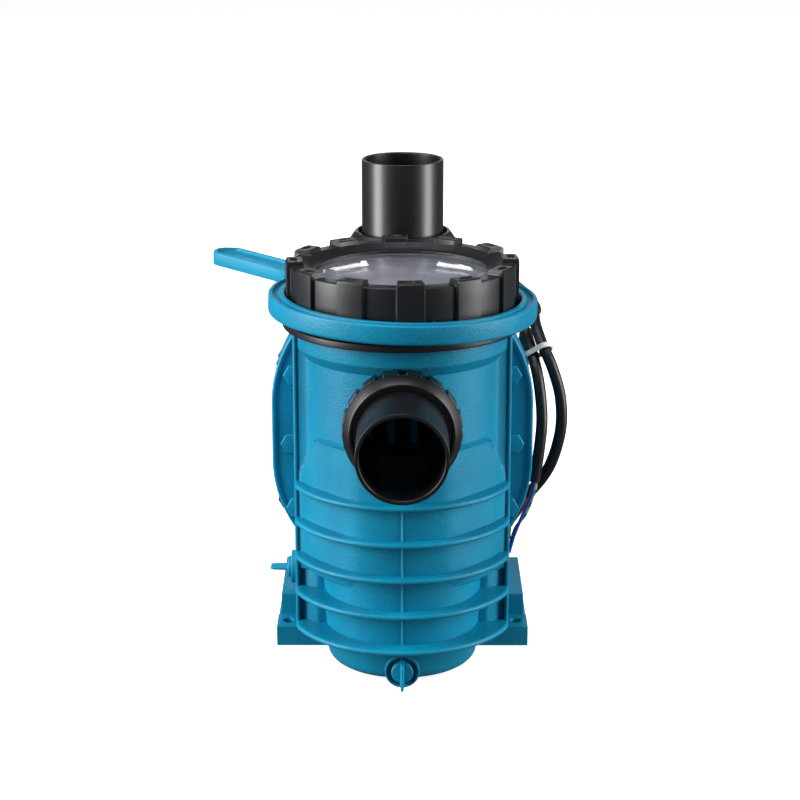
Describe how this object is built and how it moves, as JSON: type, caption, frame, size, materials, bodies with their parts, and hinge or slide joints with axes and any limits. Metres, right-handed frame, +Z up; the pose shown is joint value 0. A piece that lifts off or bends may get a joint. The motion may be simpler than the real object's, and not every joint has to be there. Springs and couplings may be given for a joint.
{
  "type": "pool pump",
  "caption": "Pool circulation pump with a ribbed strainer pot, clear lid under a lobed ring nut, union pipe tails, volute casing and a finned fan-cooled motor on a moulded base.",
  "frame": {"origin": "centre of the base's four mounting holes, on the surface the base stands on", "axes": "+Z up, +Y from the strainer pot towards the motor, +X to the right seen from the suction end"},
  "size_m": [0.2755, 0.558, 0.348],
  "materials": {
    "pump_blue": "fine moulded grain",
    "gloss_black": "polished",
    "satin_black": "satin",
    "clear_lens": "clear",
    "black_rubber": "matt",
    "steel": "zinc plated",
    "laminations": "stacked sheet steel",
    "copper": "enamelled copper wire",
    "aluminium_cast": "die cast",
    "motor_paint": "satin paint over an aluminium tube",
    "ceramic_white": "ground",
    "pvc_black": "satin cord jacket",
    "core_brown": "insulation",
    "core_blue": "insulation",
    "core_green": "insulation",
    "white_nylon": "smooth"
  },
  "bodies": {
    "root": {"front_casing": "pump_blue", "rear_casing": "pump_blue", "casing_gasket": "black_rubber", "pump_base": "pump_blue", "base_screws": "steel", "flange_bolts": "steel", "flange_nuts": "steel", "diffuser": "satin_black", "diffuser_seal": "black_rubber", "seal_seat": "ceramic_white", "stator_core": "laminations", "stator_winding": "copper", "motor_frame": "motor_paint", "motor_front_shield": "aluminium_cast", "motor_rear_shield": "aluminium_cast", "motor_bolts": "steel", "tie_rods": "steel", "front_bearing_outer": "steel", "rear_bearing_outer": "steel", "fan_cover": "satin_black", "fan_cover_screws": "steel", "terminal_box": "satin_black", "terminal_box_gasket": "black_rubber", "terminal_box_lid": "satin_black", "terminal_box_screws": "steel", "run_capacitor": "white_nylon", "cable_gland": "satin_black", "power_cord": "pvc_black", "cord_tie": "white_nylon", "wire_brown": "core_brown", "wire_blue": "core_blue", "wire_earth": "core_green"},
    "shaft": {"shaft": "steel", "rotor_core": "laminations", "impeller": "satin_black", "impeller_screw": "steel", "seal_head": "steel", "slinger": "black_rubber", "cooling_fan": "satin_black", "front_bearing_inner": "steel", "rear_bearing_inner": "steel"},
    "bearing_balls": {"front_bearing_balls": "steel", "rear_bearing_balls": "steel"},
    "lid": {"lid_lens": "clear_lens", "lid_seal": "black_rubber"},
    "slip": {"slip_ring": "white_nylon"},
    "ring": {"lid_ring": "satin_black"},
    "wrench": {"lid_wrench": "pump_blue"},
    "basket": {"strainer_basket": "satin_black"},
    "bail": {"basket_handle": "satin_black"},
    "suction_pipe": {"suction_tail": "gloss_black", "suction_seal": "black_rubber"},
    "suction_union": {"suction_nut": "gloss_black"},
    "discharge_pipe": {"discharge_tail": "gloss_black", "discharge_seal": "black_rubber"},
    "discharge_union": {"discharge_nut": "gloss_black"},
    "front_drain_guide": {"front_drain_seal": "black_rubber"},
    "front_drain": {"front_drain_plug": "pump_blue"},
    "side_drain_guide": {"side_drain_seal": "black_rubber"},
    "side_drain": {"side_drain_plug": "pump_blue"}
  },
  "joints": [
    {"name": "shaft_spin", "type": "hinge", "parent": "root", "child": "shaft", "pos_m": [0, 0.081, 0.15], "axis": [0, 1, 0], "continuous": true},
    {"name": "balls_spin", "type": "hinge", "parent": "root", "child": "bearing_balls", "pos_m": [0, 0.04, 0.15], "axis": [0, 1, 0], "continuous": true},
    {"name": "lid_lift", "type": "slide", "parent": "root", "child": "lid", "axis": [0, 0, 1], "range_m": [0, 0.5]},
    {"name": "ring_rise", "type": "slide", "parent": "lid", "child": "slip", "axis": [0, 0, 1], "range_m": [0, 0.012]},
    {"name": "ring_turn", "type": "hinge", "parent": "slip", "child": "ring", "pos_m": [0, -0.159, 0.285], "axis": [0, 0, 1], "range_deg": [0, 270]},
    {"name": "wrench_lift", "type": "slide", "parent": "ring", "child": "wrench", "axis": [0, 0, 1], "range_m": [0, 0.1]},
    {"name": "basket_lift", "type": "slide", "parent": "root", "child": "basket", "axis": [0, 0, 1], "range_m": [0, 0.25]},
    {"name": "bail_fold", "type": "hinge", "parent": "basket", "child": "bail", "pos_m": [0, -0.159, 0.23], "axis": [1, 0, 0], "range_deg": [0, 90]},
    {"name": "suction_draw", "type": "slide", "parent": "root", "child": "suction_pipe", "axis": [0, -1, 0], "range_m": [0, 0.014]},
    {"name": "suction_nut_turn", "type": "hinge", "parent": "suction_pipe", "child": "suction_union", "pos_m": [0, -0.244, 0.198], "axis": [0, -1, 0], "range_deg": [0, 720]},
    {"name": "discharge_draw", "type": "slide", "parent": "root", "child": "discharge_pipe", "axis": [0, 0, 1], "range_m": [0, 0.014]},
    {"name": "discharge_nut_turn", "type": "hinge", "parent": "discharge_pipe", "child": "discharge_union", "pos_m": [0, -0.019, 0.28], "axis": [0, 0, 1], "range_deg": [0, 720]},
    {"name": "front_drain_draw", "type": "slide", "parent": "root", "child": "front_drain_guide", "axis": [0, -1, 0], "range_m": [0, 0.01]},
    {"name": "front_drain_turn", "type": "hinge", "parent": "front_drain_guide", "child": "front_drain", "pos_m": [0, -0.233, 0.013], "axis": [0, -1, 0], "range_deg": [0, 1440]},
    {"name": "side_drain_draw", "type": "slide", "parent": "root", "child": "side_drain_guide", "axis": [-1, 0, 0], "range_m": [0, 0.01]},
    {"name": "side_drain_turn", "type": "hinge", "parent": "side_drain_guide", "child": "side_drain", "pos_m": [-0.084, -0.124, 0.054], "axis": [-1, 0, 0], "range_deg": [0, 1440]}
  ],
  "couplings": [
    {"joint": "balls_spin", "follows": "shaft_spin", "ratio": 0.383},
    {"joint": "ring_rise", "follows": "ring_turn", "m_per_rad": 0.0025444},
    {"joint": "basket_lift", "follows": "lid_lift", "ratio": 0.5},
    {"joint": "suction_draw", "follows": "suction_nut_turn", "m_per_rad": 0.0011133},
    {"joint": "discharge_draw", "follows": "discharge_nut_turn", "m_per_rad": 0.0011133},
    {"joint": "front_drain_draw", "follows": "front_drain_turn", "m_per_rad": 0.0003975},
    {"joint": "side_drain_draw", "follows": "side_drain_turn", "m_per_rad": 0.0003975}
  ]
}
